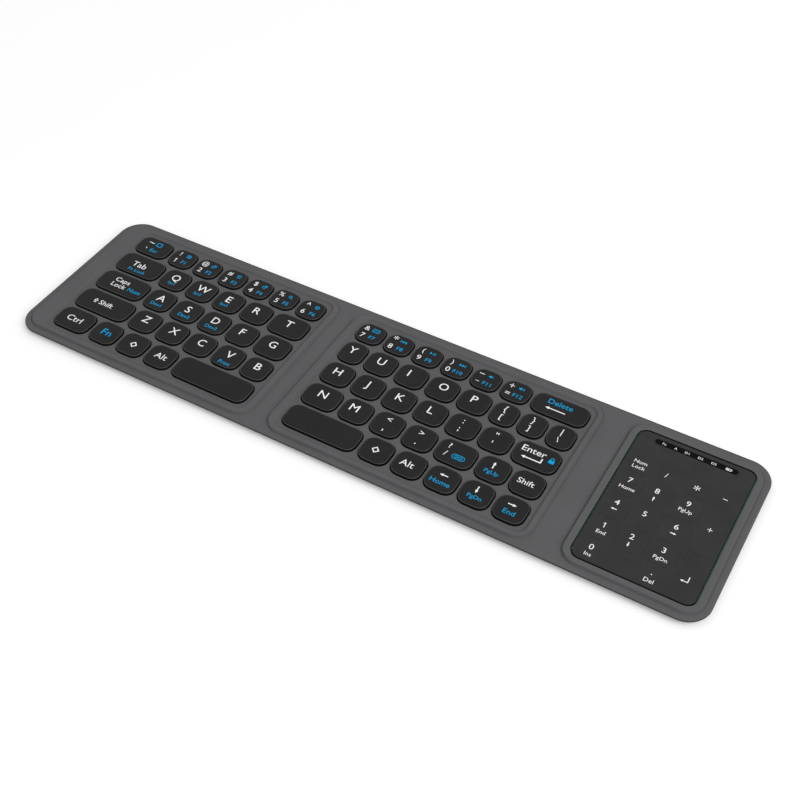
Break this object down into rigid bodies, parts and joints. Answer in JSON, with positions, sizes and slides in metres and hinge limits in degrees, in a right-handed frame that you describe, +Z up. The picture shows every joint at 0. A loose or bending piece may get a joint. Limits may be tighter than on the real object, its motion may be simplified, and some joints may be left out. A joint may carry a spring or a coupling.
{
  "type": "folding keyboard",
  "caption": "Portable keyboard of three leather-covered panels on two soft hinges: two key fields and a touch surface with a number pad.",
  "frame": {"origin": "on the table under the middle of the opened keyboard", "axes": "+X along the keyboard from its left panel to its touch panel, +Y towards its back edge, +Z up"},
  "size_m": [0.3676, 0.098, 0.005],
  "materials": {
    "leather": "fine grained dark grey artificial leather, matt",
    "moulded_frame": "black moulded plastic",
    "steel_plate": "stamped steel sheet",
    "contact_film": "clear printed film",
    "dome_rubber": "white silicone rubber",
    "support_plastic": "black moulded plastic",
    "port_steel": "drawn steel shell",
    "circuit_board": "green solder mask",
    "battery_foil": "laminated foil pouch",
    "touch_glass": "dark satin sheet with printed legends",
    "flat_cable": "amber flexible circuit",
    "key_cap": "black fine-textured plastic with printed legends"
  },
  "bodies": {
    "middle_panel": {"middle_top_cover": "leather", "middle_bottom_cover": "leather", "middle_frame": "moulded_frame", "middle_key_plate": "steel_plate", "middle_membrane": "contact_film", "middle_domes": "dome_rubber", "middle_supports": "support_plastic"},
    "left_spine": {"left_hinge": "leather", "left_hinge_cable": "flat_cable"},
    "left_panel": {"left_top_cover": "leather", "left_bottom_cover": "leather", "left_frame": "moulded_frame", "left_key_plate": "steel_plate", "left_membrane": "contact_film", "left_domes": "dome_rubber", "left_supports": "support_plastic", "charging_port": "port_steel", "control_board": "circuit_board"},
    "right_spine": {"right_hinge": "leather", "right_hinge_cable": "flat_cable"},
    "touch_panel": {"touch_top_cover": "leather", "touch_bottom_cover": "leather", "touch_frame": "moulded_frame", "touch_surface": "touch_glass", "touch_board": "circuit_board", "battery": "battery_foil"},
    "key_q": {"key_q": "key_cap"},
    "key_w": {"key_w": "key_cap"},
    "key_e": {"key_e": "key_cap"},
    "key_r": {"key_r": "key_cap"},
    "key_t": {"key_t": "key_cap"},
    "key_a": {"key_a": "key_cap"},
    "key_s": {"key_s": "key_cap"},
    "key_d": {"key_d": "key_cap"},
    "key_f": {"key_f": "key_cap"},
    "key_g": {"key_g": "key_cap"},
    "key_z": {"key_z": "key_cap"},
    "key_x": {"key_x": "key_cap"},
    "key_c": {"key_c": "key_cap"},
    "key_v": {"key_v": "key_cap"},
    "key_b": {"key_b": "key_cap"},
    "key_y": {"key_y": "key_cap"},
    "key_u": {"key_u": "key_cap"},
    "key_i": {"key_i": "key_cap"},
    "key_o": {"key_o": "key_cap"},
    "key_p": {"key_p": "key_cap"},
    "key_h": {"key_h": "key_cap"},
    "key_j": {"key_j": "key_cap"},
    "key_k": {"key_k": "key_cap"},
    "key_l": {"key_l": "key_cap"},
    "key_n": {"key_n": "key_cap"},
    "key_m": {"key_m": "key_cap"},
    "left_space_bar": {"left_space_bar": "key_cap"},
    "right_space_bar": {"right_space_bar": "key_cap"},
    "left_number_key_group": {"left_number_keys": "key_cap"},
    "middle_number_key_group": {"middle_number_keys": "key_cap"},
    "left_modifier_key_group": {"left_modifier_keys": "key_cap"},
    "middle_modifier_key_group": {"middle_modifier_keys": "key_cap"},
    "punctuation_key_group": {"punctuation_keys": "key_cap"},
    "arrow_key_group": {"arrow_keys": "key_cap"}
  },
  "joints": [
    {"name": "left_fold", "type": "hinge", "parent": "middle_panel", "child": "left_spine", "pos_m": [-0.03876, 0, 0.0036], "axis": [0, 1, 0], "range_deg": [0, 90]},
    {"name": "left_fold_outer", "type": "hinge", "parent": "left_spine", "child": "left_panel", "pos_m": [-0.04196, 0, 0.0036], "axis": [0, 1, 0], "range_deg": [0, 90]},
    {"name": "right_fold", "type": "hinge", "parent": "middle_panel", "child": "right_spine", "pos_m": [0.10466, 0, 0.0036], "axis": [0, -1, 0], "range_deg": [0, 90]},
    {"name": "right_fold_outer", "type": "hinge", "parent": "right_spine", "child": "touch_panel", "pos_m": [0.11326, 0, 0.0036], "axis": [0, -1, 0], "range_deg": [0, 90]},
    {"name": "key_q_press", "type": "slide", "parent": "left_panel", "child": "key_q", "axis": [0, 0, -1], "range_m": [0, 0.001], "stiffness_N_per_m": 600, "deforming": ["left_domes", "left_supports"]},
    {"name": "key_w_press", "type": "slide", "parent": "left_panel", "child": "key_w", "axis": [0, 0, -1], "range_m": [0, 0.001], "stiffness_N_per_m": 600, "deforming": ["left_domes", "left_supports"]},
    {"name": "key_e_press", "type": "slide", "parent": "left_panel", "child": "key_e", "axis": [0, 0, -1], "range_m": [0, 0.001], "stiffness_N_per_m": 600, "deforming": ["left_domes", "left_supports"]},
    {"name": "key_r_press", "type": "slide", "parent": "left_panel", "child": "key_r", "axis": [0, 0, -1], "range_m": [0, 0.001], "stiffness_N_per_m": 600, "deforming": ["left_domes", "left_supports"]},
    {"name": "key_t_press", "type": "slide", "parent": "left_panel", "child": "key_t", "axis": [0, 0, -1], "range_m": [0, 0.001], "stiffness_N_per_m": 600, "deforming": ["left_domes", "left_supports"]},
    {"name": "key_a_press", "type": "slide", "parent": "left_panel", "child": "key_a", "axis": [0, 0, -1], "range_m": [0, 0.001], "stiffness_N_per_m": 600, "deforming": ["left_domes", "left_supports"]},
    {"name": "key_s_press", "type": "slide", "parent": "left_panel", "child": "key_s", "axis": [0, 0, -1], "range_m": [0, 0.001], "stiffness_N_per_m": 600, "deforming": ["left_domes", "left_supports"]},
    {"name": "key_d_press", "type": "slide", "parent": "left_panel", "child": "key_d", "axis": [0, 0, -1], "range_m": [0, 0.001], "stiffness_N_per_m": 600, "deforming": ["left_domes", "left_supports"]},
    {"name": "key_f_press", "type": "slide", "parent": "left_panel", "child": "key_f", "axis": [0, 0, -1], "range_m": [0, 0.001], "stiffness_N_per_m": 600, "deforming": ["left_domes", "left_supports"]},
    {"name": "key_g_press", "type": "slide", "parent": "left_panel", "child": "key_g", "axis": [0, 0, -1], "range_m": [0, 0.001], "stiffness_N_per_m": 600, "deforming": ["left_domes", "left_supports"]},
    {"name": "key_z_press", "type": "slide", "parent": "left_panel", "child": "key_z", "axis": [0, 0, -1], "range_m": [0, 0.001], "stiffness_N_per_m": 600, "deforming": ["left_domes", "left_supports"]},
    {"name": "key_x_press", "type": "slide", "parent": "left_panel", "child": "key_x", "axis": [0, 0, -1], "range_m": [0, 0.001], "stiffness_N_per_m": 600, "deforming": ["left_domes", "left_supports"]},
    {"name": "key_c_press", "type": "slide", "parent": "left_panel", "child": "key_c", "axis": [0, 0, -1], "range_m": [0, 0.001], "stiffness_N_per_m": 600, "deforming": ["left_domes", "left_supports"]},
    {"name": "key_v_press", "type": "slide", "parent": "left_panel", "child": "key_v", "axis": [0, 0, -1], "range_m": [0, 0.001], "stiffness_N_per_m": 600, "deforming": ["left_domes", "left_supports"]},
    {"name": "key_b_press", "type": "slide", "parent": "left_panel", "child": "key_b", "axis": [0, 0, -1], "range_m": [0, 0.001], "stiffness_N_per_m": 600, "deforming": ["left_domes", "left_supports"]},
    {"name": "left_space_bar_press", "type": "slide", "parent": "left_panel", "child": "left_space_bar", "axis": [0, 0, -1], "range_m": [0, 0.001], "stiffness_N_per_m": 600, "deforming": ["left_domes", "left_supports"]},
    {"name": "left_number_keys_press", "type": "slide", "parent": "left_panel", "child": "left_number_key_group", "axis": [0, 0, -1], "range_m": [0, 0.001], "stiffness_N_per_m": 4200, "deforming": ["left_domes", "left_supports"]},
    {"name": "left_modifier_keys_press", "type": "slide", "parent": "left_panel", "child": "left_modifier_key_group", "axis": [0, 0, -1], "range_m": [0, 0.001], "stiffness_N_per_m": 4200, "deforming": ["left_domes", "left_supports"]},
    {"name": "key_y_press", "type": "slide", "parent": "middle_panel", "child": "key_y", "axis": [0, 0, -1], "range_m": [0, 0.001], "stiffness_N_per_m": 600, "deforming": ["middle_domes", "middle_supports"]},
    {"name": "key_u_press", "type": "slide", "parent": "middle_panel", "child": "key_u", "axis": [0, 0, -1], "range_m": [0, 0.001], "stiffness_N_per_m": 600, "deforming": ["middle_domes", "middle_supports"]},
    {"name": "key_i_press", "type": "slide", "parent": "middle_panel", "child": "key_i", "axis": [0, 0, -1], "range_m": [0, 0.001], "stiffness_N_per_m": 600, "deforming": ["middle_domes", "middle_supports"]},
    {"name": "key_o_press", "type": "slide", "parent": "middle_panel", "child": "key_o", "axis": [0, 0, -1], "range_m": [0, 0.001], "stiffness_N_per_m": 600, "deforming": ["middle_domes", "middle_supports"]},
    {"name": "key_p_press", "type": "slide", "parent": "middle_panel", "child": "key_p", "axis": [0, 0, -1], "range_m": [0, 0.001], "stiffness_N_per_m": 600, "deforming": ["middle_domes", "middle_supports"]},
    {"name": "key_h_press", "type": "slide", "parent": "middle_panel", "child": "key_h", "axis": [0, 0, -1], "range_m": [0, 0.001], "stiffness_N_per_m": 600, "deforming": ["middle_domes", "middle_supports"]},
    {"name": "key_j_press", "type": "slide", "parent": "middle_panel", "child": "key_j", "axis": [0, 0, -1], "range_m": [0, 0.001], "stiffness_N_per_m": 600, "deforming": ["middle_domes", "middle_supports"]},
    {"name": "key_k_press", "type": "slide", "parent": "middle_panel", "child": "key_k", "axis": [0, 0, -1], "range_m": [0, 0.001], "stiffness_N_per_m": 600, "deforming": ["middle_domes", "middle_supports"]},
    {"name": "key_l_press", "type": "slide", "parent": "middle_panel", "child": "key_l", "axis": [0, 0, -1], "range_m": [0, 0.001], "stiffness_N_per_m": 600, "deforming": ["middle_domes", "middle_supports"]},
    {"name": "key_n_press", "type": "slide", "parent": "middle_panel", "child": "key_n", "axis": [0, 0, -1], "range_m": [0, 0.001], "stiffness_N_per_m": 600, "deforming": ["middle_domes", "middle_supports"]},
    {"name": "key_m_press", "type": "slide", "parent": "middle_panel", "child": "key_m", "axis": [0, 0, -1], "range_m": [0, 0.001], "stiffness_N_per_m": 600, "deforming": ["middle_domes", "middle_supports"]},
    {"name": "right_space_bar_press", "type": "slide", "parent": "middle_panel", "child": "right_space_bar", "axis": [0, 0, -1], "range_m": [0, 0.001], "stiffness_N_per_m": 600, "deforming": ["middle_domes", "middle_supports"]},
    {"name": "middle_number_keys_press", "type": "slide", "parent": "middle_panel", "child": "middle_number_key_group", "axis": [0, 0, -1], "range_m": [0, 0.001], "stiffness_N_per_m": 3600, "deforming": ["middle_domes", "middle_supports"]},
    {"name": "middle_modifier_keys_press", "type": "slide", "parent": "middle_panel", "child": "middle_modifier_key_group", "axis": [0, 0, -1], "range_m": [0, 0.001], "stiffness_N_per_m": 3000, "deforming": ["middle_domes", "middle_supports"]},
    {"name": "punctuation_keys_press", "type": "slide", "parent": "middle_panel", "child": "punctuation_key_group", "axis": [0, 0, -1], "range_m": [0, 0.001], "stiffness_N_per_m": 4800, "deforming": ["middle_domes", "middle_supports"]},
    {"name": "arrow_keys_press", "type": "slide", "parent": "middle_panel", "child": "arrow_key_group", "axis": [0, 0, -1], "range_m": [0, 0.001], "stiffness_N_per_m": 2400, "deforming": ["middle_domes", "middle_supports"]}
  ],
  "couplings": [
    {"joint": "left_fold_outer", "follows": "left_fold", "ratio": 1},
    {"joint": "right_fold_outer", "follows": "right_fold", "ratio": 1}
  ]
}
